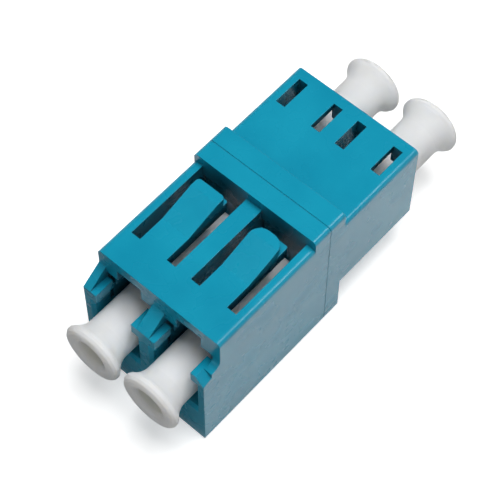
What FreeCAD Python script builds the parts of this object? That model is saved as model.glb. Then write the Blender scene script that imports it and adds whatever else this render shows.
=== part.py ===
import FreeCAD, Part
import math
import os
from FreeCAD import Vector

# LC duplex fibre adapter without flange, in millimetres.
# X runs across the two ports and +Y towards the rear ports.  +Z is up, and z = 0 is the underside.
# y = 0 is the optical plane, where the fibre ends of both sides meet and the housings are welded.
# Both halves are modelled outwards from that plane along +Y, and the front one is then mirrored.

# ---- port: the sizes that a plug needs, the same on both sides
port_pitch = 6.25             # between the two fibre axes
port_side = 4.65              # square bore for the plug's body
shoulder_gap = 3.76           # clear width between the two shoulders that the latch locks behind
shoulder_height = 1.9         # thickness of a shoulder, up from the roof of the square bore
latch_width = 2.5             # clear width of the latch channel over the shoulders
latch_depth = 3.3             # roof of the square bore to the roof of the latch channel
lock_distance = 10.03         # optical plane to the locking face of the shoulders
lead_in = 0.28                # bevel round the mouth of the square bore

# ---- walls of the housings
side_wall = 0.9
web_thickness = 1.5           # bulkhead at the optical plane, in each half
front_roof = 1.15
front_floor = 4.35
front_shoulder_length = 4.77  # locking face to the front face
rear_roof = 0.7
rear_floor = 0.55
rear_shoulder_length = 0.97   # locking face to the rear face
collar_half_length = 1.8
collar_rise = 1.0             # collar over the front half's top
top_edge_radius = 0.45
bottom_edge_radius = 0.2
weld_groove = 0.04            # depth and half width of the seam round the collar

# ---- openings in the two top panels
tongue_width = 2.8
tongue_gap = 1.15             # free end of a tongue to the collar
tongue_corner_radius = 0.2
wedge_rise = 0.95             # panel wedge on each tongue, over the front half's top
wedge_length = 4.25
wedge_ramp_length = 3.35
wedge_setback = 0.3           # wedge's end, behind the tongue's free end
wedge_corner_radii = [0.35, 1.15]  # end of the left and of the right wedge
window_length = 2.95          # core windows of the rear half
window_inset = 1.4            # port's axis to a window's inner edge

# ---- open mouth of the front half
panel_setback = 1.92          # top panel's front edge, behind the front face
ledge_drop = 0.75             # front lip of the ledges, under the shoulders' top
ramp_rise = 1.43              # sloping top of the left and the middle ledge
hollow_radius = 0.75          # round root of the right ledge
tab_width = 0.6               # flat inner end of each ledge
relief_width = 1.0            # core slot between a ledge and the rib behind it
relief_length = 0.38
corner_bevel_width = 0.85     # outer front corner of the right ledge
corner_bevel_depth = 0.9      # at the front face
corner_bevel_rise = 0.32      # how much shallower it is at its inner end
corner_bevel_length = 0.95

# ---- alignment sleeves and their two-part holder
ferrule_radius = 0.6245
ferrule_clearance = 0.0055
sleeve_wall = 0.18
sleeve_length = 6.8
sleeve_slit = 0.3
sleeve_play = 0.05            # round the sleeve, and at each of its ends
barrel_wall = 0.59
barrel_lip = 0.85             # closes the barrel round the ferrule's hole
barrel_lip_play = 0.1         # round the ferrule, where that hole is narrowest
barrel_lip_flare = 0.22       # how much wider it is at the barrel's tip
barrel_bevel = 0.2
flange_thickness = 0.65
flange_margin = 0.6           # flange beyond the barrels, all round
seat_clearance = 0.05         # holder in the housings, and pegs in their sockets

# ---- locating pegs of the welded joint
peg_radius = 0.7
peg_length = 1.1
peg_edge = 1.9                # peg's axis over the underside

# ---- dust caps
cap_grip_clearance = 0.03     # round the barrel
cap_neck_radius = 2.0
cap_end_gap = 0.15            # inner end of a cap to the bulkhead
cap_length = 16.15
cap_socket_depth = 3.6
cap_membrane = 0.8
cap_hollow_radius = 1.4
cap_rim_radius = 2.8
cap_bead_radius = 0.45        # roundness of the rim, outside and inside
cap_flat_angle = 35           # widest turn between two of the narrow flats that make the bead, in degrees
cap_flare_angle = 50          # steepness of the flare where it meets the bead, in degrees

# ---- places worked out from those sizes
port_axes = [-port_pitch / 2, port_pitch / 2]
half_side = port_side / 2
body_width = port_pitch + port_side + 2 * side_wall
axis_z = front_floor + half_side
bore_floor_z = axis_z - half_side
bore_roof_z = axis_z + half_side
shoulder_top_z = bore_roof_z + shoulder_height
latch_roof_z = bore_roof_z + latch_depth
front_depth = lock_distance + front_shoulder_length
rear_depth = lock_distance + rear_shoulder_length
front_top_z = latch_roof_z + front_roof
rear_top_z = latch_roof_z + rear_roof
rear_bottom_z = bore_floor_z - rear_floor
collar_top_z = front_top_z + collar_rise
ledge_z = shoulder_top_z - ledge_drop
panel_y = front_depth - panel_setback
tongue_y = collar_half_length + tongue_gap
sleeve_bore_radius = ferrule_radius + ferrule_clearance
sleeve_radius = sleeve_bore_radius + sleeve_wall
pocket_radius = sleeve_radius + sleeve_play
pocket_depth = sleeve_length / 2 + sleeve_play
barrel_radius = pocket_radius + barrel_wall
barrel_tip = pocket_depth + barrel_lip
cap_inner_end = web_thickness + cap_end_gap
cap_socket_radius = barrel_radius + cap_grip_clearance
past = 1.0                    # how far a cutting tool runs past the surface that it opens
hair = 1e-6                   # places closer together than this count as the same place


# ---------------------------------------------------------------- helpers
def block(x0, x1, y0, y1, z0, z1):
    """Box between two opposite corners."""
    return Part.makeBox(x1 - x0, y1 - y0, z1 - z0, Vector(x0, y0, z0))


def centred_block(x, half_width, y0, y1, z0, z1):
    """Box that is symmetric about the plane at x."""
    return block(x - half_width, x + half_width, y0, y1, z0, z1)


def rod(radius, x, z, y0, y1):
    """Cylinder along Y."""
    return Part.makeCylinder(radius, y1 - y0, Vector(x, y0, z), Vector(0, 1, 0))


def rounded_bar(width, y0, y1, z0, z1):
    """Bar along Y with rounded long edges."""
    bar = centred_block(0, width / 2, y0, y1, z0, z1)
    for z, radius in ((z1, top_edge_radius), (z0, bottom_edge_radius)):
        edges = [edge for edge in bar.Edges if is_long_edge(edge, z)]
        bar = bar.makeFillet(radius, edges)
    return bar


def is_long_edge(edge, z):
    """True for an edge that runs along Y at the height z."""
    first, last = [vertex.Point for vertex in edge.Vertexes]
    along_y = abs(first.x - last.x) + abs(first.z - last.z) < hair
    return along_y and abs(first.z - z) < hair


def prism_across(points, x0, x1):
    """Outline in the YZ plane, extruded from x0 to x1."""
    outline = [Vector(x0, y, z) for y, z in points]
    face = Part.Face(Part.makePolygon(outline + outline[:1]))
    return face.extrude(Vector(x1 - x0, 0, 0))


def front_side(shape):
    """Turns a piece modelled on the rear side into its mirror image on the front side."""
    return shape.mirror(Vector(0, 0, 0), Vector(0, 1, 0))


# ---------------------------------------------------------------- housings
def half_blank(depth, bottom_z, top_z):
    """Outer form of one half: its body, its part of the collar and the seam's step."""
    body = rounded_bar(body_width, weld_groove, depth, bottom_z, top_z)
    collar = rounded_bar(body_width, weld_groove, collar_half_length, 0, collar_top_z)
    seam = rounded_bar(body_width - 2 * weld_groove, 0, collar_half_length,
                       weld_groove, collar_top_z - weld_groove)
    return body.fuse([collar, seam]).removeSplitter()


def port_cavity(x, depth):
    """Everything that one port takes out of a half."""
    bore = centred_block(x, half_side, web_thickness, depth + past, bore_floor_z, bore_roof_z)
    gap = centred_block(x, shoulder_gap / 2, lock_distance - past, depth + past,
                        axis_z, shoulder_top_z)
    channel = centred_block(x, latch_width / 2, lock_distance - past, depth + past,
                            axis_z, latch_roof_z)
    pocket = centred_block(x, half_side, web_thickness, lock_distance, axis_z, latch_roof_z)
    return bore.fuse([gap, channel, pocket, mouth_bevel(x, depth)])


def mouth_bevel(x, depth):
    """Lead-in round the floor and sides of the square bore."""
    def frame(y, grow):
        half = half_side + grow
        corners = [(x - half, axis_z - half), (x + half, axis_z - half),
                   (x + half, bore_roof_z), (x - half, bore_roof_z)]
        outline = [Vector(cx, y, cz) for cx, cz in corners]
        return Part.makePolygon(outline + outline[:1])
    return Part.makeLoft([frame(depth - lead_in, 0), frame(depth, lead_in)], True, True)


def holder_seat():
    """Recess for the holder's flange, and the holes that its barrels pass through."""
    grow = barrel_radius + flange_margin + seat_clearance
    seat = centred_block(0, port_pitch / 2 + grow, -past, flange_thickness + seat_clearance,
                         axis_z - grow, axis_z + grow)
    holes = [rod(barrel_radius + seat_clearance, x, axis_z, 0, web_thickness + past)
             for x in port_axes]
    return seat.fuse(holes)


def housing_half(depth, bottom_z, top_z):
    """What both halves have in common."""
    cavities = [port_cavity(x, depth) for x in port_axes]
    return half_blank(depth, bottom_z, top_z).cut(cavities + [holder_seat()])


def tongue_slot(x):
    """U-shaped cut through the front top panel that leaves a tongue over one port."""
    slot = centred_block(x, half_side, collar_half_length, lock_distance,
                         latch_roof_z - past, front_top_z + past)
    tongue = centred_block(x, tongue_width / 2, tongue_y, lock_distance + past,
                           latch_roof_z - past, front_top_z + past)
    corners = [edge for edge in tongue.Edges if is_upright_at(edge, tongue_y)]
    return slot.cut(tongue.makeFillet(tongue_corner_radius, corners))


def panel_wedge(x, corner_radius):
    """Wedge on a tongue, which snaps behind a panel that rests against the collar."""
    end_y = tongue_y + wedge_setback
    ramp_y = end_y + wedge_length - wedge_ramp_length
    top_z = front_top_z + wedge_rise
    profile = [(end_y, front_top_z), (end_y, top_z), (ramp_y, top_z),
               (end_y + wedge_length, front_top_z)]
    wedge = prism_across(profile, x - tongue_width / 2, x + tongue_width / 2)
    corners = [edge for edge in wedge.Edges if is_upright_at(edge, end_y)]
    return wedge.makeFillet(corner_radius, corners)


def is_upright_at(edge, y):
    """True for an upright edge at the given y."""
    first, last = [vertex.Point for vertex in edge.Vertexes]
    upright = abs(first.x - last.x) + abs(first.y - last.y) < hair
    return upright and abs(first.y - y) < hair


def open_mouth():
    """Cut in front of the top panel, down to the ledges."""
    left, right = -body_width / 2 - past, body_width / 2 + past
    split = port_axes[1]
    sky_z = front_top_z + past
    ramp = prism_across([(front_depth + past, ledge_z), (front_depth, ledge_z),
                         (panel_y, ledge_z + ramp_rise), (panel_y, sky_z), (front_depth + past, sky_z)],
                        left, split)
    bed = block(split, right, panel_y, front_depth + past, ledge_z, sky_z)
    root = block(split, right, panel_y, panel_y + hollow_radius, ledge_z, ledge_z + hollow_radius)
    root = root.cut(Part.makeCylinder(hollow_radius, right - split,
                                      Vector(split, panel_y + hollow_radius, ledge_z + hollow_radius),
                                      Vector(1, 0, 0)))
    return ramp.fuse([bed.cut(root), corner_bevel()])


def corner_bevel():
    """Bevel on the outer front corner of the right ledge, which gets shallower inwards."""
    edge_x = body_width / 2
    def section(y, depth):
        corners = [(edge_x - corner_bevel_width, ledge_z), (edge_x, ledge_z - depth),
                   (edge_x + past, ledge_z - depth), (edge_x + past, ledge_z)]
        outline = [Vector(x, y, z) for x, z in corners]
        return Part.makePolygon(outline + outline[:1])
    inner_end = section(front_depth - corner_bevel_length, corner_bevel_depth - corner_bevel_rise)
    return Part.makeLoft([inner_end, section(front_depth, corner_bevel_depth)], True, True)


def ledge_relief(x, side):
    """Flat tab at the inner end of one ledge, and the core slot behind it."""
    edge = x + side * shoulder_gap / 2
    outer = edge + side * tab_width
    flat = block(min(x, outer), max(x, outer), panel_y, front_depth + past, ledge_z, front_top_z + past)
    undercut = block(min(edge, outer), max(edge, outer), panel_y - relief_length, panel_y,
                     ledge_z, shoulder_top_z)
    slot_inner = outer - side * relief_width
    slot = block(min(slot_inner, outer), max(slot_inner, outer), panel_y - relief_length, panel_y,
                 axis_z, shoulder_top_z)
    return flat.fuse([undercut, slot])


def peg(radius, x, length):
    """Locating peg, or the tool for its socket."""
    return rod(radius, x, peg_edge, -length, past)


def front_housing():
    """Tall half with open ledges and a sprung tongue over each port."""
    half = housing_half(front_depth, 0, front_top_z)
    tools = [open_mouth()]
    for x in port_axes:
        tools.append(tongue_slot(x))
        tools += [ledge_relief(x, side) for side in (-1, 1)]
        tools.append(rod(peg_radius + seat_clearance, x, peg_edge, -past, peg_length + seat_clearance))
    wedges = [panel_wedge(x, radius) for x, radius in zip(port_axes, wedge_corner_radii)]
    return front_side(half.cut(tools).fuse(wedges).removeSplitter())


def rear_housing():
    """Low half with four core windows."""
    half = housing_half(rear_depth, rear_bottom_z, rear_top_z)
    windows = []
    for x in port_axes:
        for side in (-1, 1):
            inner, outer = x + side * window_inset, x + side * half_side
            windows.append(block(min(inner, outer), max(inner, outer), lock_distance - window_length,
                                 lock_distance, latch_roof_z - past, rear_top_z + past))
    pegs = [peg(peg_radius, x, peg_length) for x in port_axes]
    return half.cut(windows).fuse(pegs).removeSplitter()


# ---------------------------------------------------------------- sleeve holder and sleeves
def sleeve_holder():
    """Flange with two barrels, each with a pocket for its sleeve and a hole for the ferrule."""
    grow = barrel_radius + flange_margin
    holder = centred_block(0, port_pitch / 2 + grow, 0, flange_thickness, axis_z - grow, axis_z + grow)
    for x in port_axes:
        barrel = rod(barrel_radius, x, axis_z, 0, barrel_tip)
        tip_edges = [edge for edge in barrel.Edges
                     if edge.Closed and abs(edge.CenterOfMass.y - barrel_tip) < hair]
        holder = holder.fuse(barrel.makeChamfer(barrel_bevel, tip_edges))
    for x in port_axes:
        pocket = rod(pocket_radius, x, axis_z, -past, pocket_depth)
        narrow = ferrule_radius + barrel_lip_play
        funnel = Part.makeCone(narrow, narrow + barrel_lip_flare, barrel_lip,
                               Vector(x, pocket_depth, axis_z), Vector(0, 1, 0))
        holder = holder.cut([pocket, funnel])
    return holder


def split_sleeve(x):
    """Ceramic alignment sleeve with a slit along its top."""
    half = sleeve_length / 2
    sleeve = rod(sleeve_radius, x, axis_z, -half, half).cut(rod(sleeve_bore_radius, x, axis_z, -half, half))
    slit = centred_block(x, sleeve_slit / 2, -half, half, axis_z, axis_z + sleeve_radius + past)
    return sleeve.cut(slit)


# ---------------------------------------------------------------- dust caps
def dust_cap(x):
    """Turned form: a socket for the barrel, a membrane, and a hollow neck that flares to its rim."""
    face = Part.Face(Part.Wire(cap_outside(x) + cap_inside(x)))
    return face.revolve(Vector(x, 0, axis_z), Vector(0, 1, 0), 360)


def place(x, radius, y):
    """Point of a cap's half section."""
    return Vector(x + radius, y, axis_z)


def line(x, start, finish):
    """Straight piece of a cap's half section."""
    return Part.LineSegment(place(x, *start), place(x, *finish)).toShape()


def on_circle(centre, radius, angle):
    """Radius and Y of a point on a circle in the half section, its angle from the radial direction."""
    turn = math.radians(angle)
    return centre[0] + radius * math.cos(turn), centre[1] + radius * math.sin(turn)


def arc(x, centre, radius, first_angle, last_angle):
    """Round piece of a cap's half section."""
    angles = (first_angle, (first_angle + last_angle) / 2, last_angle)
    points = [place(x, *on_circle(centre, radius, angle)) for angle in angles]
    return Part.Arc(*points).toShape()


def flats(x, centre, radius, first_angle, last_angle):
    """Same round piece as a few narrow flats, which keeps the facets of a small radius few."""
    count = math.ceil((last_angle - first_angle) / cap_flat_angle)
    step = (last_angle - first_angle) / count
    ends = [on_circle(centre, radius, first_angle + step * index) for index in range(count + 1)]
    return [line(x, start, finish) for start, finish in zip(ends, ends[1:])]


def cap_outside(x):
    """Half section from the socket's mouth along the neck and flare, and over the bead."""
    inner = cap_inner_end
    bead_centre = (cap_rim_radius - cap_bead_radius, inner + cap_length - cap_bead_radius)
    slope = math.radians(cap_flare_angle)
    flare_rise = bead_centre[0] + cap_bead_radius * math.cos(slope) - cap_neck_radius
    flare_radius = flare_rise / (1 - math.cos(slope))
    flare_y = bead_centre[1] - (cap_bead_radius + flare_radius) * math.sin(slope)
    flare_centre = (cap_neck_radius + flare_radius, flare_y)
    return [line(x, (cap_socket_radius, inner), (cap_neck_radius, inner)),
            line(x, (cap_neck_radius, inner), (cap_neck_radius, flare_y)),
            arc(x, flare_centre, flare_radius, 180, 180 - cap_flare_angle),
            *flats(x, bead_centre, cap_bead_radius, -cap_flare_angle, 90)]


def cap_inside(x):
    """Half section from the bead through the hollow, over the membrane and out of the socket."""
    inner = cap_inner_end
    end = inner + cap_length
    lip_centre = (cap_hollow_radius + cap_bead_radius, end - cap_bead_radius)
    mouth = (cap_hollow_radius, lip_centre[1])
    socket_end = inner + cap_socket_depth
    hollow_end = socket_end + cap_membrane
    hollow_bottom = (cap_hollow_radius, hollow_end)
    return [line(x, (cap_rim_radius - cap_bead_radius, end), (lip_centre[0], end)),
            *flats(x, lip_centre, cap_bead_radius, 90, 180),
            line(x, mouth, hollow_bottom),
            line(x, hollow_bottom, (0, hollow_end)),
            line(x, (0, hollow_end), (0, socket_end)),
            line(x, (0, socket_end), (cap_socket_radius, socket_end)),
            line(x, (cap_socket_radius, socket_end), (cap_socket_radius, inner))]


# ---------------------------------------------------------------- the adapter's pieces
def pieces():
    """Every piece of the adapter by its name."""
    left, right = port_axes
    holder = sleeve_holder()
    return {
        "front_housing": front_housing(),
        "rear_housing": rear_housing(),
        "front_sleeve_holder": front_side(holder),
        "rear_sleeve_holder": holder,
        "left_sleeve": split_sleeve(left),
        "right_sleeve": split_sleeve(right),
        "front_left_cap": front_side(dust_cap(left)),
        "front_right_cap": front_side(dust_cap(right)),
        "rear_left_cap": dust_cap(left),
        "rear_right_cap": dust_cap(right),
    }


os.makedirs("parts", exist_ok=True)
for name, shape in pieces().items():
    shape.exportStep("parts/" + name + ".step")
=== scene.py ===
"""Looks, light and camera for the duplex fibre adapter. Lengths are in metres."""
import math

import bpy
from mathutils import Matrix, Vector

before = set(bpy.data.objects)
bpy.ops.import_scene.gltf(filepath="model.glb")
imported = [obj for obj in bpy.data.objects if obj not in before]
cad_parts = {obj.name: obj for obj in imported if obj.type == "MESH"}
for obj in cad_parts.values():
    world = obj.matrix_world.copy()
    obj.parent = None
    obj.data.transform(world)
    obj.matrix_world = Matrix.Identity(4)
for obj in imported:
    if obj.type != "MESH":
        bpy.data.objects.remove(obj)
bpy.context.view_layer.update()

MM = 0.001

# ---- camera, at the photograph's viewing angle
CAMERA_AZIMUTH = 40.95
CAMERA_ELEVATION = 59.6
CAMERA_ROLL = 0.63
CAMERA_DISTANCE = 143.8 * MM
CAMERA_TARGET = Vector((-0.08, -2.32, 7.0)) * MM
CAMERA_LENS = 127.1

# ---- stage
FLOOR_HALF = 1.5
FLOOR_DROP = 0.01 * MM            # keeps the floor clear of the adapter's underside
FLOOR_BOUNCE = (0.46, 0.46, 0.46, 1)
NEAR_GLOW = 0.45                  # lightens the shadow that the camera sees
FAR_GLOW = 1.0                    # keeps the floor white as far as the horizon
MIRRORED_GLOW = 0.45              # of the floor in reflections, where nothing stands close to it
FRONT_SHADE = 0.8                 # how much darker the floor in front of the adapter is in reflections
SKY_FILL = 0.16
SKY_OVERHEAD = 0.1                # in reflections, against 1 at the horizon

# ---- linear colours
TEAL = (0.0035, 0.262, 0.405, 1)
TEAL_PALE = (0.006, 0.302, 0.450, 1)
# painted shade: the teal in deep recesses and slots
TEAL_PAINTED_SHADE = (0.004, 0.022, 0.045, 1)
CAP_WHITE = (0.90, 0.90, 0.89, 1)
CAP_WARM = (0.86, 0.855, 0.83, 1)
# painted light: warm bounce light inside the caps' hollows
CAP_PAINTED_BOUNCE = (0.97, 0.95, 0.82, 1)
HOLDER_WHITE = (0.72, 0.72, 0.69, 1)
CERAMIC_WHITE = (0.80, 0.79, 0.75, 1)


# ---------------------------------------------------------------- node helpers
class Nodes:
    """A short way to build one material or world tree."""

    def __init__(self, tree):
        self.tree = tree
        tree.nodes.clear()

    def add(self, kind, inputs=None, **settings):
        node = self.tree.nodes.new(kind)
        for name, value in settings.items():
            setattr(node, name, value)
        for name, value in (inputs or {}).items():
            socket = node.inputs[name]
            if isinstance(value, bpy.types.NodeSocket):
                self.tree.links.new(value, socket)
            else:
                socket.default_value = value
        return node

    def noise(self, place, scale, detail=2.0, roughness=0.5):
        node = self.add("ShaderNodeTexNoise", {"Vector": place, "Scale": scale, "Detail": detail,
                                               "Roughness": roughness})
        return node.outputs["Fac"]

    def math(self, operation, first, second):
        return self.add("ShaderNodeMath", {0: first, 1: second}, operation=operation).outputs[0]

    def spread(self, value, low, high, to_low=0.0, to_high=1.0):
        node = self.add("ShaderNodeMapRange", {"Value": value, "From Min": low, "From Max": high,
                                               "To Min": to_low, "To Max": to_high})
        return node.outputs["Result"]

    def mix(self, factor, first, second):
        node = self.add("ShaderNodeMix", data_type="RGBA")
        for socket, value in zip((node.inputs[0], node.inputs[6], node.inputs[7]), (factor, first, second)):
            if isinstance(value, bpy.types.NodeSocket):
                self.tree.links.new(value, socket)
            else:
                socket.default_value = value
        return node.outputs[2]

    def bump(self, height, strength, distance, normal=None):
        inputs = {"Height": height, "Strength": strength, "Distance": distance}
        if normal is not None:
            inputs["Normal"] = normal
        return self.add("ShaderNodeBump", inputs).outputs["Normal"]


def new_material(name):
    material = bpy.data.materials.new(name)
    material.use_nodes = True
    return material, Nodes(material.node_tree)


def object_place(nodes):
    return nodes.add("ShaderNodeTexCoord").outputs["Object"]


def openness(nodes, reach, only_local=True):
    """1 where nothing stands within the reach, in millimetres, and 0 at the bottom of a deep recess.

    A moving piece looks only at itself, so that its colour stays the same in every pose.
    """
    return nodes.add("ShaderNodeAmbientOcclusion", {"Distance": reach * MM}, samples=8,
                     only_local=only_local).outputs["AO"]


# ---------------------------------------------------------------- materials
def teal_plastic():
    """Satin moulded plastic: fine spark-eroded grain, faint flow marks and slightly soft edges, with painted
    shade darkening its recesses.
    """
    material, nodes = new_material("teal_plastic_look")
    place = object_place(nodes)
    flow = nodes.noise(place, 160.0, 3.0, 0.55)
    grain = nodes.noise(place, 9000.0, 2.0, 0.6)
    cloud = nodes.noise(place, 420.0, 2.0, 0.5)
    colour = nodes.mix(nodes.spread(flow, 0.35, 0.65), TEAL, TEAL_PALE)
    # painted shade: recesses darken towards near black by how enclosed they are
    colour = nodes.mix(nodes.spread(openness(nodes, 6.0), 0.1, 0.7), TEAL_PAINTED_SHADE, colour)
    rough = nodes.spread(cloud, 0.3, 0.7, 0.24, 0.30)
    soft_edge = nodes.add("ShaderNodeBevel", {"Radius": 0.07 * MM}, samples=6).outputs["Normal"]
    normal = nodes.bump(grain, 0.12, 0.004 * MM, soft_edge)
    normal = nodes.bump(cloud, 0.05, 0.005 * MM, normal)
    shader = nodes.add("ShaderNodeBsdfPrincipled", {
        "Base Color": colour, "Roughness": rough, "Normal": normal, "IOR": 1.5, "Specular IOR Level": 0.36})
    nodes.add("ShaderNodeOutputMaterial", {"Surface": shader.outputs[0]})
    return material


def cap_plastic():
    """Soft white plastic of the dust caps, slightly translucent and waxy, with painted warm bounce light in
    its hollows.
    """
    material, nodes = new_material("white_cap_plastic_look")
    place = object_place(nodes)
    cloud = nodes.noise(place, 350.0, 3.0, 0.5)
    grain = nodes.noise(place, 6000.0, 2.0, 0.5)
    colour = nodes.mix(nodes.spread(cloud, 0.3, 0.75, 0.0, 0.35), CAP_WHITE, CAP_WARM)
    # painted light: enclosed hollows turn warmer and brighter, standing in for bounced light
    colour = nodes.mix(nodes.spread(openness(nodes, 4.0), 0.1, 0.6), CAP_PAINTED_BOUNCE, colour)
    rough = nodes.spread(cloud, 0.3, 0.7, 0.42, 0.52)
    normal = nodes.bump(grain, 0.15, 0.004 * MM)
    shader = nodes.add("ShaderNodeBsdfPrincipled", {
        "Base Color": colour, "Roughness": rough, "Normal": normal, "IOR": 1.46,
        "Subsurface Weight": 0.9, "Subsurface Scale": 2.2 * MM})
    shader.inputs["Subsurface Radius"].default_value = (1.0, 0.95, 0.85)
    nodes.add("ShaderNodeOutputMaterial", {"Surface": shader.outputs[0]})
    return material


def holder_plastic():
    """Plain white moulded plastic of the sleeve holder."""
    material, nodes = new_material("white_holder_plastic_look")
    place = object_place(nodes)
    cloud = nodes.noise(place, 500.0, 2.0, 0.5)
    colour = nodes.mix(nodes.spread(cloud, 0.3, 0.7, 0.0, 0.5), HOLDER_WHITE, CAP_WARM)
    normal = nodes.bump(nodes.noise(place, 7000.0), 0.2, 0.004 * MM)
    shader = nodes.add("ShaderNodeBsdfPrincipled", {
        "Base Color": colour, "Roughness": nodes.spread(cloud, 0.3, 0.7, 0.38, 0.46), "Normal": normal})
    nodes.add("ShaderNodeOutputMaterial", {"Surface": shader.outputs[0]})
    return material


def ceramic():
    """Polished white ceramic of the split sleeves."""
    material, nodes = new_material("ceramic_look")
    place = object_place(nodes)
    cloud = nodes.noise(place, 900.0, 2.0, 0.5)
    colour = nodes.mix(nodes.spread(cloud, 0.3, 0.7, 0.0, 0.3), CERAMIC_WHITE, HOLDER_WHITE)
    shader = nodes.add("ShaderNodeBsdfPrincipled", {
        "Base Color": colour, "Roughness": nodes.spread(cloud, 0.3, 0.7, 0.10, 0.16), "IOR": 2.1})
    nodes.add("ShaderNodeOutputMaterial", {"Surface": shader.outputs[0]})
    return material


def dress(node_names, material):
    """Gives CAD nodes their finished material."""
    for name in node_names:
        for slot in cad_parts[name].material_slots:
            slot.material = material


# ---------------------------------------------------------------- stage, light and camera
def background_rays(nodes):
    """1 where the camera, a reflection or a see-through piece looks at the background."""
    path = nodes.add("ShaderNodeLightPath").outputs
    mirrored = nodes.math("MAXIMUM", path["Is Glossy Ray"], path["Is Transmission Ray"])
    return nodes.math("MAXIMUM", mirrored, path["Is Camera Ray"])


def front_face():
    """Y of the housing's front face."""
    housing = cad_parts["front_housing"]
    return min((housing.matrix_world @ Vector(corner)).y for corner in housing.bound_box)


def floor_material():
    """Pale matt floor, white to the camera.

    In reflections it is darker close to the adapter and in front of it.
    """
    material, nodes = new_material("floor_look")
    place = object_place(nodes)
    path = nodes.add("ShaderNodeLightPath").outputs
    pale = nodes.mix(nodes.noise(place, 40.0), (0.92, 0.92, 0.92, 1), (0.94, 0.94, 0.94, 1))
    colour = nodes.mix(path["Is Diffuse Ray"], pale, FLOOR_BOUNCE)
    matt = nodes.add("ShaderNodeBsdfDiffuse", {"Color": colour})

    mirrored = nodes.math("MULTIPLY", openness(nodes, 20.0, False), MIRRORED_GLOW)
    mirrored = nodes.math("MULTIPLY", mirrored, background_rays(nodes))
    away = nodes.add("ShaderNodeVectorMath", {0: place}, operation="LENGTH").outputs["Value"]
    seen = nodes.spread(away, 40 * MM, 130 * MM, NEAR_GLOW, FAR_GLOW)
    strength = nodes.spread(path["Is Camera Ray"], 0, 1, mirrored, seen)
    glow = nodes.add("ShaderNodeEmission", {"Strength": strength})
    lit = nodes.add("ShaderNodeAddShader", {0: matt.outputs[0], 1: glow.outputs[0]})

    along = nodes.add("ShaderNodeSeparateXYZ", {0: place}).outputs["Y"]
    in_front = nodes.spread(along, front_face() - 0.4 * MM, front_face(), FRONT_SHADE, 0)
    shaded = nodes.math("MULTIPLY", in_front, path["Is Glossy Ray"])
    dark = nodes.add("ShaderNodeBsdfDiffuse", {"Color": (0, 0, 0, 1)})
    shader = nodes.add("ShaderNodeMixShader", {0: shaded, 1: lit.outputs[0], 2: dark.outputs[0]})
    nodes.add("ShaderNodeOutputMaterial", {"Surface": shader.outputs[0]})
    return material


def floor():
    """Large flat floor, which keeps the soft shadow."""
    mesh = bpy.data.meshes.new("floor")
    corners = [(-1, -1), (1, -1), (1, 1), (-1, 1)]
    mesh.from_pydata([(x * FLOOR_HALF, y * FLOOR_HALF, -FLOOR_DROP) for x, y in corners], [], [(0, 1, 2, 3)])
    piece = bpy.data.objects.new("floor", mesh)
    bpy.context.scene.collection.objects.link(piece)
    mesh.materials.append(floor_material())


def direction_to(azimuth, elevation):
    """Unit vector from the adapter, with azimuth 0 at the front and 90 at the +X side."""
    a, e = math.radians(azimuth), math.radians(elevation)
    return Vector((math.sin(a) * math.cos(e), -math.cos(a) * math.cos(e), math.sin(e)))


def softbox(name, azimuth, elevation, distance, size, power):
    """Square area light that faces the adapter."""
    back = direction_to(azimuth, elevation)
    data = bpy.data.lights.new(name, "AREA")
    data.size = size
    data.energy = power
    light = bpy.data.objects.new(name, data)
    light.location = Vector((0, 0, 7 * MM)) + back * distance
    light.rotation_mode = "QUATERNION"
    light.rotation_quaternion = (-back).to_track_quat("-Z", "Y")
    bpy.context.scene.collection.objects.link(light)
    return light


def white_world():
    """Soft fill light, dimmer overhead in reflections, and a plain white background for the camera."""
    world = bpy.data.worlds.new("studio")
    world.use_nodes = True
    bpy.context.scene.world = world
    nodes = Nodes(world.node_tree)
    fill = nodes.add("ShaderNodeBackground", {"Color": (1, 1, 1, 1), "Strength": SKY_FILL})
    direction = nodes.add("ShaderNodeSeparateXYZ", {0: nodes.add("ShaderNodeTexCoord").outputs["Generated"]})
    room = nodes.spread(direction.outputs["Z"], 0.1, 0.6, 1.0, SKY_OVERHEAD)
    strength = nodes.math("MAXIMUM", room, nodes.add("ShaderNodeLightPath").outputs["Is Camera Ray"])
    seen = nodes.add("ShaderNodeBackground", {"Color": (1, 1, 1, 1), "Strength": strength})
    whole = nodes.add("ShaderNodeMixShader", {0: background_rays(nodes), 1: fill.outputs[0],
                                              2: seen.outputs[0]})
    nodes.add("ShaderNodeOutputWorld", {"Surface": whole.outputs[0]})


def camera():
    """Camera at the photograph's viewing angle."""
    back = direction_to(CAMERA_AZIMUTH, CAMERA_ELEVATION)
    data = bpy.data.cameras.new("camera")
    data.lens = CAMERA_LENS
    data.sensor_width = 36
    data.clip_start = 0.01
    data.clip_end = 10
    piece = bpy.data.objects.new("camera", data)
    upright = back.to_track_quat("Z", "Y").to_matrix().to_4x4()
    roll = Matrix.Rotation(math.radians(CAMERA_ROLL), 4, "Z")
    piece.matrix_world = Matrix.Translation(CAMERA_TARGET + back * CAMERA_DISTANCE) @ upright @ roll
    bpy.context.scene.collection.objects.link(piece)
    bpy.context.scene.camera = piece


def set_colour_management():
    settings = bpy.context.scene.view_settings
    settings.view_transform = "Standard"
    settings.look = "None"
    settings.exposure = 0
    settings.gamma = 1


dress(["front_housing", "rear_housing"], teal_plastic())
dress(["front_left_cap", "front_right_cap", "rear_left_cap", "rear_right_cap"], cap_plastic())
dress(["front_sleeve_holder", "rear_sleeve_holder"], holder_plastic())
dress(["left_sleeve", "right_sleeve"], ceramic())
floor()
key = softbox("key", azimuth=115, elevation=83, distance=0.18, size=0.10, power=0.30)
fill = softbox("fill", azimuth=20, elevation=48, distance=0.6, size=0.45, power=0.24)
key.visible_glossy = fill.visible_glossy = False
edge = softbox("edge", azimuth=137, elevation=56, distance=0.3, size=0.08, power=0.22)
edge.visible_diffuse = False      # only draws the bright line along the top edges
white_world()
camera()
set_colour_management()
